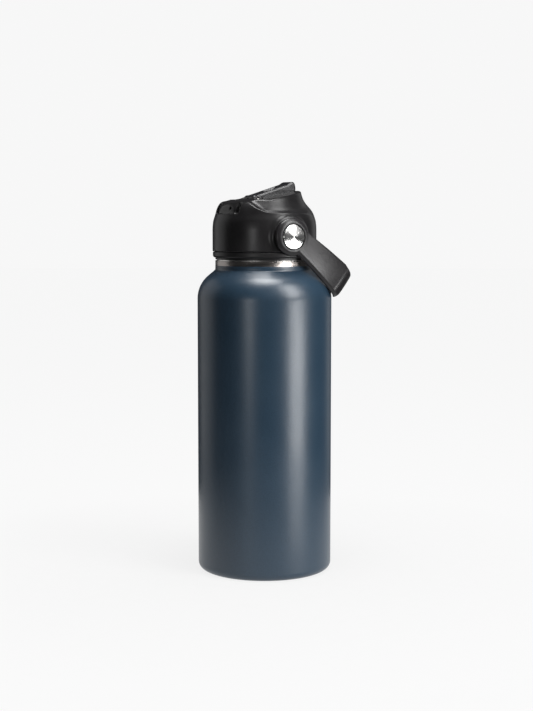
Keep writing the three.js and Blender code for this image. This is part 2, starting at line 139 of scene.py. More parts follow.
def outline_field(u, v, points):
    """Signed distance to a closed outline in two directions, negative inside."""
    nearest = np.full(u.shape, 1e9)
    sign = np.ones(u.shape)
    for (u0, v0), (u1, v1) in zip(points, points[1:] + points[:1]):
        eu, ev = u1 - u0, v1 - v0
        wu, wv = u - u0, v - v0
        along = np.clip((wu * eu + wv * ev) / (eu * eu + ev * ev), 0, 1)
        nearest = np.minimum(nearest, (wu - eu * along) ** 2 + (wv - ev * along) ** 2)
        above, below, left = v >= v0, v < v1, eu * wv > ev * wu
        sign[(above & below & left) | ~(above | below | left)] *= -1
    return sign * np.sqrt(nearest)


PROFILE_STEP = 0.1
PROFILE_MARGIN = 6


def turned_field(radius, z, profile, soften):
    """Distance to the side of a turned shape, from its [radius, z] points with the corners softened."""
    points = np.array(profile)
    step = PROFILE_STEP
    heights = np.arange(points[0, 1] - PROFILE_MARGIN, points[-1, 1] + PROFILE_MARGIN, step)
    radii = np.interp(heights, points[:, 1], points[:, 0])
    reach = np.arange(-3 * soften, 3 * soften + step / 2, step)
    weight = np.exp(-0.5 * (reach / soften) ** 2)
    padded = np.pad(radii, len(reach) // 2, mode="edge")
    radii = np.convolve(padded, weight / weight.sum(), mode="valid")[:len(heights)]
    slope = np.gradient(radii, step)
    flat = np.interp(z, heights, 1 / np.sqrt(1 + slope ** 2))
    return (radius - np.interp(z, heights, radii)) * flat


# ---------- meshes ----------

def surface_net(field, low, high, step):
    """The zero surface of a field as vertices and quads, one vertex in each cell that it crosses."""
    axes = [np.arange(a - step, b + 2 * step, step) for a, b in zip(low, high)]
    x, y, z = np.meshgrid(*axes, indexing="ij")
    f = field(x, y, z)
    negative = f < 0
    cells = tuple(n - 1 for n in f.shape)
    total = np.zeros(cells + (3,))
    count = np.zeros(cells)
    crossings = []
    for axis in range(3):
        first = [slice(None)] * 3
        second = [slice(None)] * 3
        first[axis], second[axis] = slice(0, -1), slice(1, None)
        a, b = f[tuple(first)], f[tuple(second)]
        cross = negative[tuple(first)] != negative[tuple(second)]
        crossings.append((cross, negative[tuple(first)]))
        along = np.where(cross, a / np.where(a == b, 1, a - b), 0)
        others = [k for k in range(3) if k != axis]
        for p in (0, 1):
            for q in (0, 1):
                part = [slice(None)] * 3
                for k, shift in zip(others, (p, q)):
                    part[k] = slice(shift, shift + cells[k])
                here = cross[tuple(part)]
                total[..., axis] += np.where(here, along[tuple(part)], 0)
                for k, shift in zip(others, (p, q)):
                    total[..., k] += here * shift
                count += here
    used = count > 0
    number = np.full(cells, -1)
    number[used] = np.arange(used.sum())
    corner = np.stack(np.nonzero(used), axis=1)
    verts = (corner + total[used] / count[used][:, None]) * step + np.array([a[0] for a in axes])
    quads = []
    for axis in range(3):
        cross, inside = crossings[axis]
        i, j, k = np.nonzero(cross)
        at = np.stack([i, j, k], axis=1)
        p, q = [n for n in range(3) if n != axis]
        if axis == 1:
            p, q = q, p
        ring = []
        for dp, dq in ((-1, -1), (0, -1), (0, 0), (-1, 0)):
            cell = at.copy()
            cell[:, p] += dp
            cell[:, q] += dq
            ring.append(number[cell[:, 0], cell[:, 1], cell[:, 2]])
        quad = np.stack(ring, axis=1)
        flip = ~inside[i, j, k]
        quad[flip] = quad[flip][:, ::-1]
        quads.append(quad)
    return verts, np.concatenate(quads)


PROBE = 0.02
SETTLE_ROUNDS = 3
LARGEST_MOVE = 0.5


def gradient_of(field, verts):
    slope = np.zeros(verts.shape)
    for axis in range(3):
        shift = np.zeros(3)
        shift[axis] = PROBE
        ahead, behind = (verts + shift).T, (verts - shift).T
        slope[:, axis] = (field(*ahead) - field(*behind)) / (2 * PROBE)
    return slope


def settle(field, verts, quads):
    """Evens out the net and moves each vertex onto the zero surface."""
    edges = np.concatenate([quads[:, [k, (k + 1) % 4]] for k in range(4)])
    degree = np.bincount(edges.ravel(), minlength=len(verts))[:, None]
    for turn in range(SETTLE_ROUNDS + 1):
        if turn:
            total = np.zeros(verts.shape)
            for axis in range(3):
                total[:, axis] = np.bincount(edges[:, 0], verts[edges[:, 1], axis], len(verts))
                total[:, axis] += np.bincount(edges[:, 1], verts[edges[:, 0], axis], len(verts))
            verts = verts + 0.5 * (total / degree - verts)
        for _ in range(2):
            slope = gradient_of(field, verts)
            size = np.maximum((slope ** 2).sum(axis=1), 0.05)
            move = slope * (field(*verts.T) / size)[:, None]
            length = np.linalg.norm(move, axis=1)[:, None]
            verts = verts - move * np.minimum(1, LARGEST_MOVE / np.maximum(length, 1e-9))
    return verts


def mesh_piece(name, verts, faces, body, sharp):
    """A mesh object in metres that rides on a body; edges over the sharp angle in degrees stay crisp."""
    mesh = bpy.data.meshes.new(name)
    mesh.from_pydata((np.asarray(verts) * MM).tolist(), [], [list(map(int, f)) for f in faces])
    mesh.polygons.foreach_set("use_smooth", [True] * len(mesh.polygons))
    if sharp:
        mesh.set_sharp_from_angle(angle=math.radians(sharp))
    mesh.validate()
    mesh.update()
    piece = bpy.data.objects.new(name, mesh)
    bpy.context.scene.collection.objects.link(piece)
    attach(piece, body)
    return piece


def field_piece(name, field, low, high, step, body, place=None):
    verts, quads = surface_net(field, low, high, step)
    verts = settle(field, verts, quads)
    if place is not None:
        verts = place(verts)
    return mesh_piece(name, verts, quads, body, sharp=50)


def arc(centre_r, centre_z, radius, start, end, steps):
    turn = np.linspace(start, end, steps + 1)
    return [(centre_r + radius * math.cos(t), centre_z + radius * math.sin(t)) for t in turn]


def filleted(corners, steps=4):
    """Points of a closed outline, with each (a, b, radius) corner rounded off."""
    points = []
    for (pa, pb, _), (a, b, radius), (na, nb, _) in zip(corners[-1:] + corners[:-1], corners,
                                                        corners[1:] + corners[:1]):
        if not radius:
            points.append((a, b))
            continue
        before = np.array([pa - a, pb - b])
        after = np.array([na - a, nb - b])
        reach_in, reach_out = np.linalg.norm(before), np.linalg.norm(after)
        before, after = before / reach_in, after / reach_out
        half = math.acos(np.clip(before @ after, -1, 1)) / 2
        back = min(radius / math.tan(half), 0.48 * reach_in, 0.48 * reach_out)
        for i in range(steps + 1):
            t = i / steps
            point = np.array([a, b]) + back * ((1 - t) ** 2 * before + t ** 2 * after)
            points.append(tuple(point))
    return points


ON_AXIS = 1e-6


def turned(name, outline, body, segments, axis="z", at=(0, 0, 0), side=1):
    """A turned piece from a closed [radius, height] outline; side is the way that its height runs on Y."""
    outline = [(max(r, 0.0), h) for r, h in outline]
    count = len(outline)
    verts, first = [], []
    for r, h in outline:
        first.append(len(verts))
        if r < ON_AXIS:
            verts.append((0, 0, h))
        else:
            for k in range(segments):
                t = 2 * math.pi * k / segments
                verts.append((r * math.cos(t), r * math.sin(t), h))
    faces = []
    for i in range(count):
        j = (i + 1) % count
        pole_i, pole_j = outline[i][0] < ON_AXIS, outline[j][0] < ON_AXIS
        if pole_i and pole_j:
            continue
        for k in range(segments):
            m = (k + 1) % segments
            if pole_i:
                faces.append((first[i], first[j] + k, first[j] + m))
            elif pole_j:
                faces.append((first[i] + m, first[i] + k, first[j]))
            else:
                faces.append((first[i] + k, first[j] + k, first[j] + m, first[i] + m))
    faces = [f[::-1] for f in faces]
    verts = np.array(verts)
    if axis == "y":
        verts = np.stack([verts[:, 0], side * verts[:, 2], verts[:, 1]], axis=1)
        if side > 0:
            faces = [f[::-1] for f in faces]
    return mesh_piece(name, verts + np.array(at), faces, body, sharp=35)


def join_into(target, *others):
    """Adds other pieces' meshes to the target's mesh, and removes those objects."""
    whole = bmesh.new()
    whole.from_mesh(target.data)
    for other in others:
        whole.from_mesh(other.data)
        mesh = other.data
        bpy.data.objects.remove(other)
        bpy.data.meshes.remove(mesh)
    whole.to_mesh(target.data)
    whole.free()


THREAD_PER_TURN = 96
THREAD_ACROSS = 9
THREAD_HALF = 1.25
THREAD_FADE = 14
FADE_POWER = 0.7
CREST_POWER = 0.8


def thread_ridge(name, root, crest, start_z, turns, body):
    """A rolled thread with a rounded crest, which fades in and out at its ends."""
    steps = int(turns * THREAD_PER_TURN)
    across = THREAD_ACROSS
    verts, faces = [], []
    for i in range(steps + 1):
        angle = 2 * math.pi * i / THREAD_PER_TURN
        run = min(1.0, i / THREAD_FADE, (steps - i) / THREAD_FADE)
        lift = math.sin(run * math.pi / 2) ** FADE_POWER
        for k in range(across):
            s = k / (across - 1) * 2 - 1
            bump = math.cos(s * math.pi / 2) ** CREST_POWER if abs(s) < 1 else 0
            radius = root + (crest - root) * lift * bump
            z = start_z + THREAD_PITCH * i / THREAD_PER_TURN + THREAD_HALF * s
            verts.append((radius * math.cos(angle), radius * math.sin(angle), z))
    for i in range(steps):
        for k in range(across - 1):
            a = i * across + k
            quad = (a, a + across, a + across + 1, a + 1)
            faces.append(quad if crest > root else quad[::-1])
    return mesh_piece(name, verts, faces, body, sharp=0)


# ---------- materials ----------

def material(name):
    made = bpy.data.materials.new(name)
    made.use_nodes = True
    tree = made.node_tree
    return made, tree, tree.nodes["Principled BSDF"]


def node(tree, kind, **settings):
    made = tree.nodes.new(kind)
    for key, value in settings.items():
        if key in made.inputs:
            made.inputs[key].default_value = value
        else:
            setattr(made, key, value)
    return made


def noise(tree, where, scale, detail, rough, stretch=None):
    """Noise in the object's own coordinates, stretched by a factor in each direction."""
    source = where
    if stretch:
        mapping = node(tree, "ShaderNodeMapping")
        mapping.inputs["Scale"].default_value = stretch
        tree.links.new(where, mapping.inputs["Vector"])
        source = mapping.outputs["Vector"]
    made = node(tree, "ShaderNodeTexNoise")
    made.inputs["Scale"].default_value = scale
    made.inputs["Detail"].default_value = detail
    made.inputs["Roughness"].default_value = rough
    tree.links.new(source, made.inputs["Vector"])
    return made.outputs["Fac"]


def spread(tree, value, low, high, source_low=0.3, source_high=0.7):
    """Maps a value from its own range onto low to high."""
    made = node(tree, "ShaderNodeMapRange")
    made.inputs["From Min"].default_value = source_low
    made.inputs["From Max"].default_value = source_high
    made.inputs["To Min"].default_value = low
    made.inputs["To Max"].default_value = high
    tree.links.new(value, made.inputs["Value"])
    return made.outputs["Result"]


def tint(tree, value, dark, light, low=0.3, high=0.7):
    """Maps a value onto the colours between dark and light."""
    ramp = node(tree, "ShaderNodeValToRGB")
    ramp.color_ramp.elements[0].position = low
    ramp.color_ramp.elements[1].position = high
    ramp.color_ramp.elements[0].color = (*dark, 1)
    ramp.color_ramp.elements[1].color = (*light, 1)
    tree.links.new(value, ramp.inputs["Fac"])
    return ramp.outputs["Color"]


def relief(tree, height, depth, before=None):
    """Bump of a depth in metres, on top of another one if there is one before it."""
    bump = node(tree, "ShaderNodeBump")
    bump.inputs["Strength"].default_value = 1.0
    bump.inputs["Distance"].default_value = depth
    tree.links.new(height, bump.inputs["Height"])
    if before is not None:
        tree.links.new(before, bump.inputs["Normal"])
    return bump.outputs["Normal"]


def place_of(tree):
    return node(tree, "ShaderNodeTexCoord").outputs["Object"]


def powder_coat():
    """Satin slate-blue powder coat: orange peel, a fine grain and faint handling marks."""
    made, tree, shader = material("powder_coat")
    where = place_of(tree)
    grain = noise(tree, where, scale=2600, detail=3, rough=0.6)
    peel = noise(tree, where, scale=700, detail=2, rough=0.5)
    cloud = noise(tree, where, scale=28, detail=4, rough=0.6)
    colour = tint(tree, grain, COAT_DARK, COAT_LIGHT, low=0.36, high=0.66)
    worn = node(tree, "ShaderNodeMix", data_type="RGBA", blend_type="MULTIPLY")
    worn.inputs["Factor"].default_value = COAT_WEAR
    tree.links.new(colour, worn.inputs["A"])
    tree.links.new(tint(tree, cloud, COAT_WORN, (1, 1, 1)), worn.inputs["B"])
    tree.links.new(worn.outputs["Result"], shader.inputs["Base Color"])
    rough = spread(tree, cloud, COAT_ROUGH - COAT_ROUGH_VARIES, COAT_ROUGH + COAT_ROUGH_VARIES)
    tree.links.new(rough, shader.inputs["Roughness"])
    normal = relief(tree, peel, PEEL_DEPTH)
    tree.links.new(relief(tree, grain, GRAIN_DEPTH, normal), shader.inputs["Normal"])
    shader.inputs["Specular IOR Level"].default_value = COAT_SPECULAR
    shader.inputs["Metallic"].default_value = 0.0
    return made


PIT_DEPTH = 0.00002
PIT_SCALE = 1900


def plastic(name, dark, light, rough, specular):
    """Moulded plastic with a fine spark-eroded texture."""
    made, tree, shader = material(name)
    where = place_of(tree)
    pits = noise(tree, where, scale=PIT_SCALE, detail=3, rough=0.65)
    cloud = noise(tree, where, scale=45, detail=3, rough=0.6)
    tree.links.new(tint(tree, cloud, dark, light), shader.inputs["Base Color"])
    mixed = node(tree, "ShaderNodeMath", operation="ADD")
    tree.links.new(spread(tree, cloud, rough - 0.04, rough + 0.04), mixed.inputs[0])
    tree.links.new(spread(tree, pits, -0.03, 0.03), mixed.inputs[1])
    tree.links.new(mixed.outputs["Value"], shader.inputs["Roughness"])
    tree.links.new(relief(tree, pits, PIT_DEPTH), shader.inputs["Normal"])
    shader.inputs["Specular IOR Level"].default_value = specular
    return made


STREAK_DEPTH = 0.000006
BRUSHED_ANISOTROPY = 0.6
STEEL_DARK = (0.5, 0.48, 0.46)
STEEL_LIGHT = (0.66, 0.645, 0.62)


def steel(name, stretch, rough, axis=None, dark=STEEL_DARK, light=STEEL_LIGHT):
    """Brushed steel: streaks along one direction, or round an axis."""
    made, tree, shader = material(name)
    where = place_of(tree)
    streaks = noise(tree, where, scale=1, detail=3, rough=0.7, stretch=stretch)
    cloud = noise(tree, where, scale=60, detail=3, rough=0.6)
    tree.links.new(tint(tree, streaks, dark, light), shader.inputs["Base Color"])
    shader.inputs["Metallic"].default_value = 1.0
    mixed = node(tree, "ShaderNodeMath", operation="ADD")
    tree.links.new(spread(tree, streaks, rough - 0.05, rough + 0.05), mixed.inputs[0])
    tree.links.new(spread(tree, cloud, -0.04, 0.04), mixed.inputs[1])
    tree.links.new(mixed.outputs["Value"], shader.inputs["Roughness"])
    tree.links.new(relief(tree, streaks, STREAK_DEPTH), shader.inputs["Normal"])
    if axis:
        shader.inputs["Anisotropic"].default_value = BRUSHED_ANISOTROPY
        tangent = node(tree, "ShaderNodeTangent", direction_type="RADIAL", axis=axis)
        tree.links.new(tangent.outputs["Tangent"], shader.inputs["Tangent"])
    return made


RING_SCALE = 5200
RING_DEPTH = 0.00001
RING_DARK = (0.62, 0.61, 0.6)
RING_LIGHT = (0.8, 0.79, 0.78)
TURNED_ANISOTROPY = 0.82
QUARTER_TURN = 0.25  # stretches the highlight across the rings instead of along them


def turned_steel(name, centre, radial, rough, spin):
    """Steel turned in a lathe: fine rings about a centre, in the two directions that radial keeps."""
    made, tree, shader = material(name)
    where = place_of(tree)
    offset = node(tree, "ShaderNodeVectorMath", operation="SUBTRACT")
    tree.links.new(where, offset.inputs[0])
    offset.inputs[1].default_value = centre
    flat = node(tree, "ShaderNodeVectorMath", operation="MULTIPLY")
    tree.links.new(offset.outputs["Vector"], flat.inputs[0])
    flat.inputs[1].default_value = radial
    length = node(tree, "ShaderNodeVectorMath", operation="LENGTH")
    tree.links.new(flat.outputs["Vector"], length.inputs[0])
    combine = node(tree, "ShaderNodeCombineXYZ")
    tree.links.new(length.outputs["Value"], combine.inputs["X"])
    rings = noise(tree, combine.outputs["Vector"], scale=RING_SCALE, detail=2, rough=0.7)
    cloud = noise(tree, where, scale=160, detail=3, rough=0.6)
    tree.links.new(tint(tree, rings, RING_DARK, RING_LIGHT), shader.inputs["Base Color"])
    shader.inputs["Metallic"].default_value = 1.0
    tree.links.new(spread(tree, cloud, rough - 0.04, rough + 0.04), shader.inputs["Roughness"])
    tree.links.new(relief(tree, rings, RING_DEPTH), shader.inputs["Normal"])
    shader.inputs["Anisotropic"].default_value = TURNED_ANISOTROPY
    shader.inputs["Anisotropic Rotation"].default_value = QUARTER_TURN
    tangent = node(tree, "ShaderNodeTangent", direction_type="RADIAL", axis=spin)
    tree.links.new(tangent.outputs["Tangent"], shader.inputs["Tangent"])
    return made


FINE_DEPTH = 0.00001


def translucent(name, dark, light, rough, pass_through):
    """Unpigmented moulded plastic or rubber that lets some light through."""
    made, tree, shader = material(name)
    where = place_of(tree)
    cloud = noise(tree, where, scale=120, detail=3, rough=0.6)
    fine = noise(tree, where, scale=1500, detail=2, rough=0.5)
    tree.links.new(tint(tree, cloud, dark, light), shader.inputs["Base Color"])
    tree.links.new(spread(tree, fine, rough - 0.05, rough + 0.05), shader.inputs["Roughness"])
    tree.links.new(relief(tree, fine, FINE_DEPTH), shader.inputs["Normal"])
    shader.inputs["Transmission Weight"].default_value = pass_through
    return made


COAT_DARK = (0.009, 0.023, 0.040)
COAT_LIGHT = (0.019, 0.041, 0.067)
COAT_ROUGH = 0.34
COAT_ROUGH_VARIES = 0.03
COAT_SPECULAR = 0.6
COAT_WEAR = 0.35
COAT_WORN = (0.8, 0.8, 0.8)
PEEL_DEPTH = 0.00003
GRAIN_DEPTH = 0.00002

coat = powder_coat()
lid_black = plastic("lid_plastic_fine", (0.007, 0.0066, 0.007), (0.012, 0.0114, 0.012),
                    rough=0.33, specular=0.32)
handle_black = plastic("handle_plastic_fine", (0.009, 0.008, 0.009), (0.014, 0.013, 0.014),
                       rough=0.34, specular=0.42)
spout_black = plastic("spout_plastic_fine", (0.009, 0.0088, 0.010), (0.014, 0.0135, 0.015),
                      rough=0.30, specular=0.4)
liner_black = plastic("liner_plastic_fine", (0.008, 0.0075, 0.008), (0.013, 0.0125, 0.013),
                      rough=0.36, specular=0.3)
collar_steel = steel("collar_steel", (40, 40, 5200), rough=0.24, axis="Z",
                     dark=(0.28, 0.255, 0.24), light=(0.4, 0.37, 0.35))
neck_steel = steel("neck_steel", (60, 60, 3800), rough=0.26, axis="Z")
base_steel = turned_steel("base_steel", (0, 0, 0), (1, 1, 0), rough=0.32, spin="Z")
flat_steel = steel("rolled_steel", (2600, 90, 90), rough=0.34)
disc_steel = turned_steel("disc_turned_steel", (0, 0, PIVOT_Z * MM), (1, 0, 1), rough=0.15, spin="Y")
pin_steel = steel("pin_steel", (900, 2400, 900), rough=0.3)
rubber = translucent("silicone_rubber", (0.5, 0.51, 0.53), (0.6, 0.61, 0.63),
                     rough=0.5, pass_through=0.15)
straw_clear = translucent("straw_natural", (0.72, 0.74, 0.76), (0.82, 0.84, 0.86),
                          rough=0.28, pass_through=0.6)
bush_white = translucent("bush_acetal", (0.66, 0.65, 0.62), (0.75, 0.74, 0.71),
                         rough=0.4, pass_through=0.05)


def finish_with(piece, made):
    piece.data.materials.clear()
    piece.data.materials.append(made)


# ---------- the bottle ----------

def shoulder(radius, neck, steps=24):
    centre = BODY_R - SHOULDER_R
    curve = arc(centre, SHOULDER_Z, radius, 0, SHOULDER_SWEEP, steps)
    end_r, end_z = curve[-1]
    return curve + [(neck, end_z + (end_r - neck) / math.tan(SHOULDER_SWEEP))]


NECK_BEND_STEPS = 5
COLLAR_BEND = 1.6
INNER_BEND = 1.2
COAT = 0.05
COAT_EDGE = 0.08
WALL_STOPS = (30.0, 60.0, 90.0, 120.0, 150.0, 170.0)


def corner_blend(points, at, radius):
    """Rounds one corner of an open run of points."""
    (pa, pb), (a, b), (na, nb) = points[at - 1], points[at], points[at + 1]
    corner = filleted([(pa, pb, 0), (a, b, radius), (na, nb, 0)], NECK_BEND_STEPS)
    return points[:at] + corner[1:-1] + points[at + 1:]


def build_outer_wall():
    foot = BODY_R - FOOT_R
    outside = [(FOOT_INNER, 0.0)]
    outside += arc(foot, FOOT_R, FOOT_R, -math.pi / 2, 0, 14)
    outside += [(BODY_R, z) for z in WALL_STOPS]
    outside += shoulder(SHOULDER_R, LIP_R)
    outside = corner_blend(outside + [(LIP_R, LIP_TOP)], len(outside) - 1, COLLAR_BEND)
    outside = outside[:-1] + arc(LIP_R - WALL / 2, LIP_TOP - WALL / 2, WALL / 2, 0, math.pi, 8)
    inside = [(FOOT_INNER, WALL)]
    inside += arc(foot, FOOT_R, FOOT_R - WALL, -math.pi / 2, 0, 10)
    inside += shoulder(SHOULDER_R - WALL, LIP_R - WALL)
    inside = corner_blend(inside + [(LIP_R - WALL, LIP_TOP - WALL / 2)], len(inside) - 1, INNER_BEND)[:-1]
    painted = [p for p in outside if p[1] < PAINT_TOP - COAT]
    paint_edge = [(LIP_R, PAINT_TOP), (LIP_R - COAT, PAINT_TOP + COAT_EDGE)]
    bare = [(r - COAT if z < LIP_TOP - 0.4 else r, z) for r, z in outside if z > PAINT_TOP + 0.1]
    piece = turned("coated_body", painted + paint_edge + bare + inside[::-1], "bottle", 256)
    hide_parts("outer_wall")
    finish_with(piece, coat)
    piece.data.materials.append(collar_steel)
    for face in piece.data.polygons:
        if face.center.z > (PAINT_TOP + 0.03) * MM:
            face.material_index = 1


def build_flask():
    corner_r, corner_z = FLASK_R - FLASK_CORNER, FLASK_Z + FLASK_CORNER
    outside = [(0.0, FLASK_Z)] + arc(corner_r, corner_z, FLASK_CORNER, -math.pi / 2, 0, 12)
    outside += shoulder(FLASK_SHOULDER_R, NECK_R, 16)
    outside = corner_blend(outside + [(NECK_R, MOUTH_Z)], len(outside) - 1, INNER_BEND)[:-1]
    lip = (NECK_R - NECK_BORE) / 2
    rim = arc(NECK_BORE + lip, MOUTH_Z - lip, lip, 0, math.pi, 8)
    inside = [(0.0, FLASK_Z + FLASK_SHEET)]
    inside += arc(corner_r, corner_z, FLASK_CORNER - FLASK_SHEET, -math.pi / 2, 0, 12)
    inside += shoulder(FLASK_SHOULDER_R - FLASK_SHEET, NECK_BORE, 16)
    inside = corner_blend(inside + [(NECK_BORE, MOUTH_Z - lip)], len(inside) - 1, INNER_BEND)[:-1]
    piece = turned("steel_flask", outside + rim + inside[::-1], "bottle", 160)
    thread = thread_ridge("neck_thread", NECK_BORE + 0.1, NECK_BORE - 1.3, THREAD_Z, 1.25, "bottle")
    join_into(piece, thread)
    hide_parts("inner_flask")
    finish_with(piece, neck_steel)


BASE_LOW = 0.3
BASE_GROOVE_R = 19.0
BASE_FLAT_R = 33.0


def build_base_cover():
    """The disc under the base, with a shallow groove pressed into it about halfway out."""
    edge = FOOT_INNER - 0.3
    low = BASE_LOW
    outline = [(0.0, low + 0.12), (BASE_GROOVE_R - 1, low + 0.1), (BASE_GROOVE_R, low + 0.22)]
    outline += [(BASE_GROOVE_R + 1, low + 0.1), (BASE_FLAT_R, low), (edge - 0.25, low)]
    outline += [(edge, low + 0.2), (edge, WALL), (0.0, WALL)]
    piece = turned("base_disc", outline, "bottle", 160)
    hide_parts("base_cover")
    finish_with(piece, base_steel)


# ---------- the lid ----------

FULL_SIDE = [(34.8, 214.0), (34.8, 231.0), (34.3, 236.0), (33.1, 239.0), (32.3, 242.5), (31.3, 245.4),
             (29.4, 248.0), (27.0, 250.4)]
SADDLE_SIDE = [(33.0, 230.0), (32.3, 242.0), (29.8, 245.8), (27.7, 249.1), (26.3, 251.8), (25.1, 255.1),
               (24.8, 258.0)]
HOLLOW_SIDE = [(31.6, 214.0), (31.6, 231.0), (27.0, 237.8)]
# Pads on the cap's sides, under the handle's hubs.
PAD_R = 12.9
PAD_FACE = 33.8
# The finger scoops, whose inner corners and edges soften towards the front.
BLOCK_Z = 247
SOFT_START = 4
SOFT_RUN = 22
# The top stands higher behind the hinge.
REAR_RISE = 1.7
REAR_START = -8
REAR_RAMP = 8
# The ridge that holds the hinge: its roof is the lower of two slopes.
HUMP_FRONT_R = 3.7
HUMP_BACK = -27.5
HUMP_LOW = 244
SPOUT_RISE = 0.324
ROOF_X = -7.5
ROOF_Z = 252.45
REAR_ROOF_Z = 252.75
REAR_ROOF_RISE = 0.172
# The notch at the back, with an upright block and a small hole in it.
NOTCH_LOW = (-50, -15.5, 240.3)
NOTCH_HIGH = (-25, 15.5, 270)
ISLAND_LOW = (-29.6, -11.2, 239.0)
ISLAND_HIGH = (-20, 11.2, 262)
ISLAND_INSET = 1.6
HOLE_Y = -6.2
HOLE_Z = 243.6
HOLE_R = 0.9
HOLE_END = -26.5
# Openings round the spout.
BARREL_GAP = 0.4
ABOVE_ALL = 275
PIN_BORE = 1.15
PIN_BORE_PAST = 0.3
# The inside of the cap, the spout's port and the screw bosses.
HOLLOW_TOP = 238.0
CHAMBER_R = 13
CHAMBER_TOP = 243.9
PORT_R = 4.3
PORT_Z = 245
PORT_HALF = 6
PORT_TOP = 248
BOSS_R = 5.6
BOSS_Y = 29.4
BOSS_HALF = 3.4
SCREW_R = 2.3
SCREW_INNER = 25


def cap_shell(x, y, z, side, top):
    """The cap's outside: side wall, hub pads, finger scoops and sloping top."""
    pad = both(np.hypot(x, z - PIVOT_Z) - PAD_R, np.abs(y) - PAD_FACE, edge=1.0)
    shape = either(side, pad, cove=3.0)
    saddle = turned_field(np.hypot(x, y / SQUEEZE), z, SADDLE_SIDE, 1.5)
    rear = (x - BLOCK_X - BLOCK_LEAN * (BLOCK_Z - z)) / math.hypot(1, BLOCK_LEAN)
    ahead = np.clip((x - SOFT_START) / SOFT_RUN, 0, 1)
    scoop = both(both(LEDGE_Z - z, -saddle, edge=1.6 + 5 * ahead), -rear, edge=5.0)
    shape = without(shape, scoop, edge=0.7 + 2.5 * ahead)
    return both(shape, top, edge=1.1)


def cap_hump(x, y, z):
    """The ridge behind the spout, which holds the hinge pin."""
    front = np.hypot(x - HINGE_X, z - HINGE_Z) - HUMP_FRONT_R
    front_roof = z - ROOF_Z - SPOUT_RISE * (x - ROOF_X)
    rear_roof = z - REAR_ROOF_Z - REAR_ROOF_RISE * x
    roof = np.minimum(front_roof, rear_roof) / math.hypot(1, SPOUT_RISE)
    ends = np.where(x > HINGE_X, front, HUMP_BACK - x)
    hump = both(both(ends, roof, edge=0.8), np.abs(y) - HUMP_HALF, edge=0.9)
    return both(hump, HUMP_LOW - z, edge=0.5)


def cap_island(x, y, z, side, top):
    """The upright block in the notch, with its small hole."""
    island = box_field(x, y, z, ISLAND_LOW, ISLAND_HIGH, 0.9)
    island = both(island, side + ISLAND_INSET, edge=0.8)
    island = both(island, top, edge=0.8)
    hole = np.maximum(np.hypot(y - HOLE_Y, z - HOLE_Z) - HOLE_R, x - HOLE_END)
    return without(island, hole, edge=0.2)


def spout_room(x, y, z):
    """The channel that the spout lies in, the pocket for its barrel and the opening over the barrel."""
    channel = box_field(x, y, z, (HINGE_X, -CHANNEL_HALF, CHANNEL_FLOOR),
                        (CHANNEL_END, CHANNEL_HALF, ABOVE_ALL), 0.6)
    barrel = np.hypot(x - HINGE_X, z - HINGE_Z) - BARREL_R - BARREL_GAP
    pocket = both(barrel, np.abs(y) - CHANNEL_HALF, edge=0.2)
    above = box_field(x, y, z, (HINGE_X - BARREL_R - BARREL_GAP, -CHANNEL_HALF, HINGE_Z),
                      (HINGE_X + 4, CHANNEL_HALF, ABOVE_ALL), 0.3)
    return np.minimum(np.minimum(channel, pocket), above)


def cap_field(x, y, z):
    radius = np.hypot(x, y)
    side = turned_field(radius, z, FULL_SIDE, 1.3)
    raised = REAR_RISE * np.clip((REAR_START - x) / REAR_RAMP, 0, 1)
    top = (z - TOP_Z - TOP_SLOPE * x - raised) / math.hypot(1, TOP_SLOPE)
    shape = cap_shell(x, y, z, side, top)
    shape = either(shape, cap_hump(x, y, z), cove=0.5)
    shape = both(shape, CAP_Z - z, edge=0.5)

    shape = without(shape, box_field(x, y, z, NOTCH_LOW, NOTCH_HIGH, 0.8), edge=0.6)
    shape = either(shape, cap_island(x, y, z, side, top), cove=0.7)

    shape = without(shape, spout_room(x, y, z), edge=0.4)
    off_hinge = np.hypot(x - HINGE_X, z - HINGE_Z)
    pin_bore = np.maximum(off_hinge - PIN_BORE, np.abs(y) - HUMP_HALF - PIN_BORE_PAST)
    shape = without(shape, pin_bore, edge=0.25)

    inner = turned_field(radius, z, HOLLOW_SIDE, 0.6)
    inner = both(inner, z - HOLLOW_TOP, edge=1.0)
    chamber = both(radius - CHAMBER_R, z - CHAMBER_TOP, edge=0.8)
    shape = without(shape, np.minimum(inner, chamber), edge=0.3)
    port = np.maximum(np.hypot(x - SEAL_X, y) - PORT_R, np.abs(z - PORT_Z) - PORT_HALF)
    shape = without(shape, np.maximum(port, z - PORT_TOP), edge=0.3)

    off_pivot = np.hypot(x, z - PIVOT_Z)
    boss = both(off_pivot - BOSS_R, np.abs(np.abs(y) - BOSS_Y) - BOSS_HALF, edge=0.4)
    shape = either(shape, boss, cove=0.6)
    shape = without(shape, np.maximum(off_pivot - SCREW_R, SCREW_INNER - np.abs(y)), edge=0.2)
    spot = both(off_pivot - BOSS_R, PIVOT_FLAT - np.abs(y), edge=0.2)
    return without(shape, spot, edge=0.2)


CAP_LOW = (-35.6, -35.6, 214.9)
CAP_HIGH = (35.6, 35.6, 258)
FIELD_STEP = 0.6


def build_cap():
    piece = field_piece("moulded_cap", cap_field, CAP_LOW, CAP_HIGH, FIELD_STEP, "lid")
    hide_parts("lid_cap")
    finish_with(piece, lid_black)


NIPPLE_BORE = 2.4
NIPPLE_R = 3.6
NIPPLE_Z = 189
CHIMNEY_WALL = 1.6
SPIGOT_R = 32.9
SPIGOT_BORE = 31.9
SPIGOT_TOP = 219
SHELF_Z = 217.5


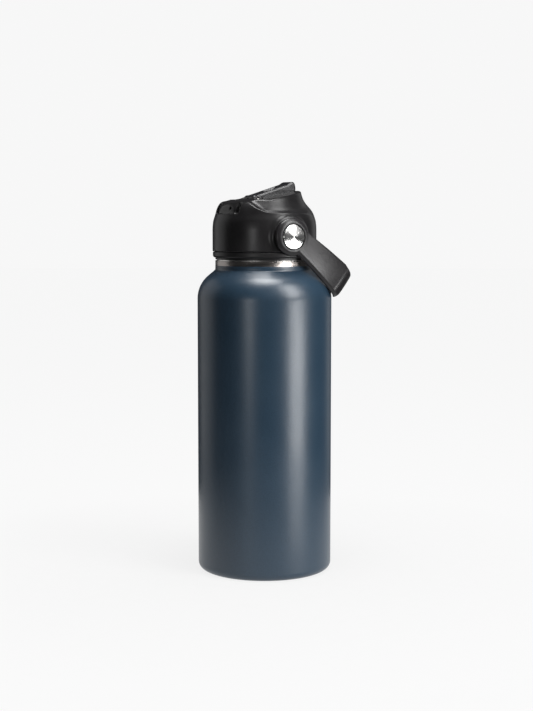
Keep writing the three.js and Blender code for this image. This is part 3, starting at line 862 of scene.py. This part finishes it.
def build_liner():
    bore = NECK_R + 0.4
    inner = PLUG_R - PLUG_WALL
    floor = PLUG_Z + PLUG_WALL
    chimney = CHIMNEY_BORE + CHIMNEY_WALL
    corners = [
        (NIPPLE_BORE, NIPPLE_Z, 0.3), (NIPPLE_R, NIPPLE_Z, 0.3), (NIPPLE_R, PLUG_Z, 0.5),
        (PLUG_R, PLUG_Z, 0.8), (PLUG_R, FLANGE_Z, 0.4), (bore, FLANGE_Z, 0.4),
        (bore, SKIRT_Z, 0.15), (SKIRT_R, SKIRT_Z, 0.15), (SKIRT_R, RING_Z, 0.1),
        (RING_R - 0.7, RING_Z, 0.3), (RING_R, RING_Z + 1, 0.6), (RING_R, SEAM_Z, 0.35),
        (SPIGOT_R, SEAM_Z, 0), (SPIGOT_R, SPIGOT_TOP, 0.3), (SPIGOT_BORE, SPIGOT_TOP, 0.3),
        (SPIGOT_BORE, SHELF_Z, 0.3), (inner, SHELF_Z, 0.5), (inner, floor, 0.8),
        (chimney, floor, 0.8), (chimney, CHIMNEY_TOP, 0.4), (CHIMNEY_BORE, CHIMNEY_TOP, 0.4),
        (CHIMNEY_BORE, floor, 0.8), (NIPPLE_BORE, floor, 0.4),
    ]
    piece = turned("threaded_liner", filleted(corners), "lid", 160)
    thread = thread_ridge("liner_thread", PLUG_R - 0.1, PLUG_R + 2.2, THREAD_Z - THREAD_DROP, 1.0, "lid")
    join_into(piece, thread)
    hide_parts("lid_liner")
    finish_with(piece, liner_black)


GASKET_BORE = 30.95
GASKET_R = 32.0
GASKET_HIGH = 1.5


def build_gasket():
    """The sealing ring, with a small groove in its underside."""
    low = MOUTH_Z + 0.3
    high = low + GASKET_HIGH
    ring = filleted([(GASKET_BORE, low, 0.2), (31.3, low, 0.1), (31.5, low + 0.15, 0.1), (31.7, low, 0.1),
                     (GASKET_R, low, 0.2), (GASKET_R, high, 0.35), (GASKET_BORE, high, 0.35)])
    gasket = turned("seal_ring", ring, "lid", 128)
    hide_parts("lid_gasket")
    finish_with(gasket, rubber)


def build_straw():
    top = PLUG_Z - 0.6
    tube = filleted([(STRAW_BORE, STRAW_Z, 0.3), (STRAW_R, STRAW_Z, 0.3), (STRAW_R, top, 0.3),
                     (STRAW_BORE, top, 0.3)])
    straw = turned("drinking_straw", tube, "straw", 64)
    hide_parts("straw")
    finish_with(straw, straw_clear)


PIN_R = 1.0
PIN_CHAMFER = 0.3
PIN_TIP_R = 0.7


def build_pin():
    reach = HUMP_HALF - 0.4
    outline = [(0.0, -reach), (PIN_TIP_R, -reach), (PIN_R, -reach + PIN_CHAMFER),
               (PIN_R, reach - PIN_CHAMFER), (PIN_TIP_R, reach), (0.0, reach)]
    pin = turned("hinge_pin", outline, "lid", 32, "y", (HINGE_X, 0, HINGE_Z))
    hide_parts("spout_pin")
    finish_with(pin, pin_steel)


DISC_BACK = 37.9
DISC_FACE = 38.78


def build_discs():
    face = [(0.0, DISC_BACK), (DISC_R - 0.2, DISC_BACK), (DISC_R, 38.05), (DISC_R, 38.4),
            (DISC_R - 0.12, 38.62), (DISC_R - 0.35, 38.74), (DISC_R - 0.7, DISC_FACE), (0.0, DISC_FACE)]
    for side, where in ((-1, "right"), (1, "left")):
        disc = turned("pivot_cover_" + where, face, "handle", 96, "y", (0, 0, PIVOT_Z), side)
        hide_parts("pivot_disc_" + where)
        finish_with(disc, disc_steel)


# ---------- the spout ----------

CURVE_STEPS = 8


def quadratic(start, bend, end):
    """Points of a curve from start to end, bent towards a third point."""
    points = []
    for i in range(1, CURVE_STEPS + 1):
        t = i / CURVE_STEPS
        points.append(tuple((1 - t) ** 2 * np.array(start) + 2 * t * (1 - t) * np.array(bend)
                            + t ** 2 * np.array(end)))
    return points


SPOUT_TOP = 261.6
TIP_FRONT = (20.8, 257.0)
TIP_CREST = (18.4, SPOUT_TOP)
TIP_BACK = (14.7, 259.9)
SPOUT_SIDE = (
    [(HINGE_X, HINGE_Z - BARREL_R), (-4.0, CHANNEL_FLOOR + 0.6), (17.0, 250.6), (20.4, 253.6), TIP_FRONT]
    + quadratic(TIP_FRONT, (20.4, SPOUT_TOP), TIP_CREST)
    + quadratic(TIP_CREST, (17.0, SPOUT_TOP), TIP_BACK)
    + arc(HINGE_X, HINGE_Z, BARREL_R, math.pi / 2 - 0.2, 1.5 * math.pi, 16)[:-1]
)
MOUTH_X = 20.8
MOUTH_HEIGHT = 256.6
PASSAGE_R = 1.7
PASSAGE_FLARE = 0.25
FLARE_START = 29
PASSAGE_START = -8
GRIP_X = 2.0
GRIP_Z = 268.1
GRIP_R = 13.0
GRIP_HALF = 4.3
SPOUT_BORE = 1.3


def spout_field(x, y, z):
    outline = outline_field(x, z, SPOUT_SIDE)
    shape = both(outline, np.abs(y) - SPOUT_HALF, edge=1.2)
    rise = math.atan2(MOUTH_HEIGHT - HINGE_Z, MOUTH_X - HINGE_X)
    along = (x - HINGE_X) * math.cos(rise) + (z - HINGE_Z) * math.sin(rise)
    off = np.hypot((z - HINGE_Z) * math.cos(rise) - (x - HINGE_X) * math.sin(rise), y)
    flare = PASSAGE_FLARE * np.maximum(along - FLARE_START, 0)
    passage = np.maximum(off - PASSAGE_R - flare, PASSAGE_START - along)
    shape = without(shape, passage, edge=0.5)
    grip = both(np.hypot(x - GRIP_X, z - GRIP_Z) - GRIP_R, np.abs(y) - GRIP_HALF, edge=0.4)
    shape = without(shape, grip, edge=0.4)
    bore = np.hypot(x - HINGE_X, z - HINGE_Z) - SPOUT_BORE
    return without(shape, bore, edge=0.2)


SPOUT_LOW = (-13.2, -6.6, 246.4)
SPOUT_HIGH = (21, 6.6, 261.8)
SPOUT_STEP = 0.4


def build_spout():
    piece = field_piece("flip_spout", spout_field, SPOUT_LOW, SPOUT_HIGH, SPOUT_STEP, "spout")
    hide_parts("spout")
    finish_with(piece, spout_black)


# ---------- the handle ----------

JOIN_ANGLE = math.pi / 2 - CORNER_TURN
CORNER_Y = STRAP_OUTER - CORNER_R
BOW_R = (CORNER_Y + CORNER_R * math.sin(JOIN_ANGLE)) / math.sin(JOIN_ANGLE)
BOW_U = CORNER_U + CORNER_R * math.cos(JOIN_ANGLE) - BOW_R * math.cos(JOIN_ANGLE)
# The handle's lower and upper edges, as distances along the arm and across it.
ARM_LOW = [(-20.0, -6.8), (10.0, -6.8), (51.5, -9.4), (54.2, -8.6), (55.8, -7.0), (57.2, -4.8),
           (58.6, -2.2), (59.8, -0.9), (61.5, -0.4), (66.0, -0.4)]
ARM_TOP = [(-20.0, 9.4), (10.0, 9.4), (45.0, 12.2), (52.0, 10.8), (57.0, 9.6), (66.0, 9.2)]
ARM_MIDDLE = 0.7
CROWN = 0.4
CROWN_HALF = 9.5
BEND_START = 14.0
BEND_RADIUS = 170.0
BEND_FADE = 24
LOW_SLOPE = 0.85
HOOP_START = -4
CONE_R = 9.8
CONE_SLOPE = 1.625
WELL_FLOOR = 35.4
BUSH_BORE = 5.3
BOTTLE_GAP = 0.7


def to_world(u, n):
    """The handle's own directions, along its arms and across them, as X and Z."""
    x = u * math.cos(HANDLE_REST) + n * math.sin(HANDLE_REST)
    z = PIVOT_Z - u * math.sin(HANDLE_REST) + n * math.cos(HANDLE_REST)
    return x, z


def bottle_room(x, y, z):
    """The bottle's side and shoulder, with a gap, which the handle stays clear of."""
    off_axis = np.hypot(x, y)
    tall = np.maximum(z - SHOULDER_Z, 0)
    rounded = np.hypot(np.maximum(off_axis - BODY_R + SHOULDER_R, 0), tall) - SHOULDER_R - BOTTLE_GAP
    side = off_axis - BODY_R - BOTTLE_GAP
    return np.where(z > SHOULDER_Z, rounded, side)


def handle_field(u, y, n):
    across = np.abs(y)
    bend = np.clip(u - BEND_START, 0, CORNER_U - BEND_START) ** 2 / (2 * BEND_RADIUS)
    beside = np.clip(across / BEND_FADE, 0, 1)
    across = across + bend * beside ** 2 * (3 - 2 * beside)
    straight = across - STRAP_OUTER
    corner = np.hypot(u - CORNER_U, across - CORNER_Y) - CORNER_R
    bow = np.hypot(u - BOW_U, across) - BOW_R
    in_bow = np.arctan2(across, u - BOW_U) < JOIN_ANGLE
    outer = np.where(in_bow, bow, np.where(u > CORNER_U, corner, straight))
    outer = outer + CROWN * ((n - ARM_MIDDLE) / CROWN_HALF) ** 2
    band = np.maximum(outer, -outer - STRAP + 0.1)
    low_line, top_line = np.array(ARM_LOW), np.array(ARM_TOP)
    low = np.interp(u, low_line[:, 0], low_line[:, 1])
    top = np.interp(u, top_line[:, 0], top_line[:, 1])
    hoop = both(band, (low - n) * LOW_SLOPE, edge=2.6)
    hoop = both(hoop, n - top, edge=0.8)
    hoop = np.maximum(hoop, HOOP_START - u)
    radius = np.hypot(u, n)
    cone = (radius - CONE_R + (across - HUB_FACE) * CONE_SLOPE) / math.hypot(1, CONE_SLOPE)
    hub = both(both(radius - HUB_R, across - HUB_FACE, edge=0.3), HUB_INNER - across, edge=0.4)
    hub = both(hub, cone, edge=0.5)
    shape = either(hoop, hub, cove=0.5)
    well = both(radius - DISC_R - 0.3, WELL_FLOOR - across, edge=0.2)
    shape = without(shape, well, edge=0.2)
    shape = without(shape, radius - BUSH_BORE, edge=0.2)
    x, z = to_world(u, n)
    return without(shape, bottle_room(x, y, z), edge=0.5)


HANDLE_LOW = (-12.6, -38.6, -12.6)
HANDLE_HIGH = (64, 38.6, 12.6)


def build_handle():
    def place(verts):
        x, z = to_world(verts[:, 0], verts[:, 2])
        return np.stack([x, verts[:, 1], z], axis=1)
    piece = field_piece("swing_handle", handle_field, HANDLE_LOW, HANDLE_HIGH, FIELD_STEP, "handle", place)
    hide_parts("handle")
    finish_with(piece, handle_black)


# ---------- studio ----------

VIEW_TURN = math.radians(30)
CAMERA_BEARING = 240
TABLE_NEAR = 0.27
TABLE_FAR = 6.0
TABLE_START = 0.05
# The table's white and its glow, close to the bottle and from TABLE_NEAR outwards.
TABLE_WHITE = (0.06, 0.02)
TABLE_GLOW = (0.83, 0.925)
BACKDROP_R = 5.8
BACKDROP_LOW = -0.5
BACKDROP_HIGH = 6.0
BACKDROP_GLOW = 0.93
BACKDROP_DARK = (0.02, 0.02, 0.02)
BACKDROP_LIGHT = (0.022, 0.022, 0.022)
SKY_COLOUR = (0.92, 0.95, 1.0, 1)
SKY_STRENGTH = 0.035
WHITE = (1, 1, 1, 1)
STAGE_SEGMENTS = 96
BODY_MIDDLE = (0, 0, 0.13)
BODY_LOW = (0, 0, 0.1)
# Each light's name, degrees to the right of the camera, distance, height, size, watts and aim.
LIGHTS = [
    ("strip_right", 52, 0.95, 0.77, (0.46, 0.9), 15, BODY_MIDDLE),
    ("strip_right_low", 56, 0.95, 0.05, (0.42, 0.14), 4.4, BODY_MIDDLE),
    ("strip_left", -25, 1.3, 0.18, (0.13, 0.16), 1.5, BODY_MIDDLE),
    ("overhead", 10, 0.16, 1.2, (0.5, 0.5), 14, BODY_LOW),
    ("edge_left", -118, 1.0, 0.35, (0.8, 1.0), 1.5, BODY_MIDDLE),
    ("edge_right", 140, 1.0, 0.35, (0.4, 1.0), 0.6, BODY_MIDDLE),
]


def bearing(right_of_view, distance, height):
    """A point at an angle to the right of the camera, as seen from above the bottle."""
    turn = math.radians(CAMERA_BEARING + right_of_view)
    return (distance * math.cos(turn), distance * math.sin(turn), height)


def area_light(name, where, size, power, target):
    data = bpy.data.lights.new(name, "AREA")
    data.shape = "RECTANGLE"
    data.size, data.size_y = size
    data.energy = power
    lamp = bpy.data.objects.new(name, data)
    lamp.location = where
    aim = np.array(target) - np.array(where)
    lamp.rotation_euler = mathutils.Vector(aim).to_track_quat("-Z", "Y").to_euler()
    lamp.visible_camera = False
    bpy.context.scene.collection.objects.link(lamp)


def stage_mesh(name, verts, faces):
    mesh = bpy.data.meshes.new(name)
    mesh.from_pydata(verts, [], faces)
    made = bpy.data.objects.new(name, mesh)
    bpy.context.scene.collection.objects.link(made)
    return made


def ring_points(first, second):
    """Points of two (radius, z) rings, taken in turn at each step round."""
    turns = [2 * math.pi * k / STAGE_SEGMENTS for k in range(STAGE_SEGMENTS)]
    return [(r * math.cos(t), r * math.sin(t), z) for t in turns for r, z in (first, second)]


def ring_steps(start):
    """The first ring's point numbers at each step round and at the next one."""
    return [(start + 2 * k, start + 2 * ((k + 1) % STAGE_SEGMENTS)) for k in range(STAGE_SEGMENTS)]


def disc_mesh(name, inner, outer):
    faces = [(a, a + 1, b + 1, b) for a, b in ring_steps(0)]
    return stage_mesh(name, ring_points((inner, 0), (outer, 0)), faces)


def wall_mesh(name, radius, low, high):
    """A round wall with a roof that meets in its middle."""
    faces = []
    for a, b in ring_steps(1):
        faces += [(a, a + 1, b + 1, b), (0, b + 1, a + 1)]
    return stage_mesh(name, [(0, 0, high)] + ring_points((radius, low), (radius, high)), faces)


def build_table():
    """A white table that turns from a lit surface near the bottle into an even glow further out."""
    near = disc_mesh("table_near", 0.0, TABLE_NEAR)
    far = disc_mesh("table_far", TABLE_NEAR, TABLE_FAR)
    made, tree, shader = material("white_table")
    where = place_of(tree)
    fibre = noise(tree, where, scale=90, detail=4, rough=0.6)
    length = node(tree, "ShaderNodeVectorMath", operation="LENGTH")
    tree.links.new(where, length.inputs[0])
    white = spread(tree, length.outputs["Value"], *TABLE_WHITE, TABLE_START, TABLE_NEAR)
    speck = node(tree, "ShaderNodeMath", operation="MULTIPLY")
    tree.links.new(white, speck.inputs[0])
    tree.links.new(spread(tree, fibre, 0.96, 1.04), speck.inputs[1])
    tree.links.new(speck.outputs["Value"], shader.inputs["Base Color"])
    glow = spread(tree, length.outputs["Value"], *TABLE_GLOW, TABLE_START, TABLE_NEAR)
    tree.links.new(glow, shader.inputs["Emission Strength"])
    shader.inputs["Emission Color"].default_value = WHITE
    shader.inputs["Roughness"].default_value = 0.9
    shader.inputs["Specular IOR Level"].default_value = 0.0
    for part in (near, far):
        part.data.materials.append(made)
    far.visible_diffuse = False
    far.visible_glossy = False


def build_backdrop():
    wall = wall_mesh("backdrop", BACKDROP_R, BACKDROP_LOW, BACKDROP_HIGH)
    made, tree, shader = material("white_backdrop")
    fibre = noise(tree, place_of(tree), scale=4, detail=2, rough=0.5)
    tree.links.new(tint(tree, fibre, BACKDROP_DARK, BACKDROP_LIGHT), shader.inputs["Base Color"])
    shader.inputs["Roughness"].default_value = 1.0
    shader.inputs["Specular IOR Level"].default_value = 0.0
    shader.inputs["Emission Color"].default_value = WHITE
    shader.inputs["Emission Strength"].default_value = BACKDROP_GLOW
    wall.data.materials.append(made)
    wall.visible_diffuse = False
    wall.visible_glossy = False
    wall.visible_shadow = False


def build_studio():
    scene = bpy.context.scene
    scene.view_settings.view_transform = "Standard"
    scene.view_settings.look = "None"
    build_table()
    build_backdrop()

    world = bpy.data.worlds.new("studio")
    world.use_nodes = True
    sky = world.node_tree.nodes["Background"]
    sky.inputs["Color"].default_value = SKY_COLOUR
    sky.inputs["Strength"].default_value = SKY_STRENGTH
    scene.world = world

    for name, right_of_view, distance, height, size, watts, aim in LIGHTS:
        area_light(name, bearing(right_of_view, distance, height), size, watts, aim)


# The camera that a fit to the bottle's outline in the photograph gave.
CAMERA_AWAY = 970
CAMERA_BESIDE = 1.363
CAMERA_HEIGHT = 0.238704
CAMERA_TILT = math.radians(5.517)
SENSOR = 36
FOCAL_LENGTH = SENSOR * 1442.486 / 711


def build_camera():
    beside = np.array([math.cos(VIEW_TURN), -math.sin(VIEW_TURN), 0])
    away = np.array([math.sin(VIEW_TURN), math.cos(VIEW_TURN), 0])
    spot = (-CAMERA_AWAY * away + CAMERA_BESIDE * beside) * MM + np.array([0, 0, CAMERA_HEIGHT])
    data = bpy.data.cameras.new("photo_view")
    data.sensor_width = SENSOR
    data.lens = FOCAL_LENGTH
    data.clip_end = 20
    camera = bpy.data.objects.new("photo_view", data)
    camera.location = spot
    camera.rotation_euler = (math.pi / 2 - CAMERA_TILT, 0, -VIEW_TURN)
    bpy.context.scene.collection.objects.link(camera)
    bpy.context.scene.camera = camera


build_camera()
build_studio()
build_outer_wall()
build_flask()
build_base_cover()
build_cap()
build_liner()
build_gasket()
build_straw()
build_pin()
build_discs()
build_spout()
build_handle()

# Hidden pieces that keep the CAD model's shape and get a material here.
CAD_FINISH = {
    "vacuum_base": flat_steel,
    "vacuum_seal_plug": flat_steel,
    "getter_disc": flat_steel,
    "vent_valve": rubber,
    "spout_seal": rubber,
    "pivot_bush_right": bush_white,
    "pivot_bush_left": bush_white,
    "pivot_screw_right": pin_steel,
    "pivot_screw_left": pin_steel,
}
for name, made in CAD_FINISH.items():
    for piece_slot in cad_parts[name].material_slots:
        piece_slot.material = made
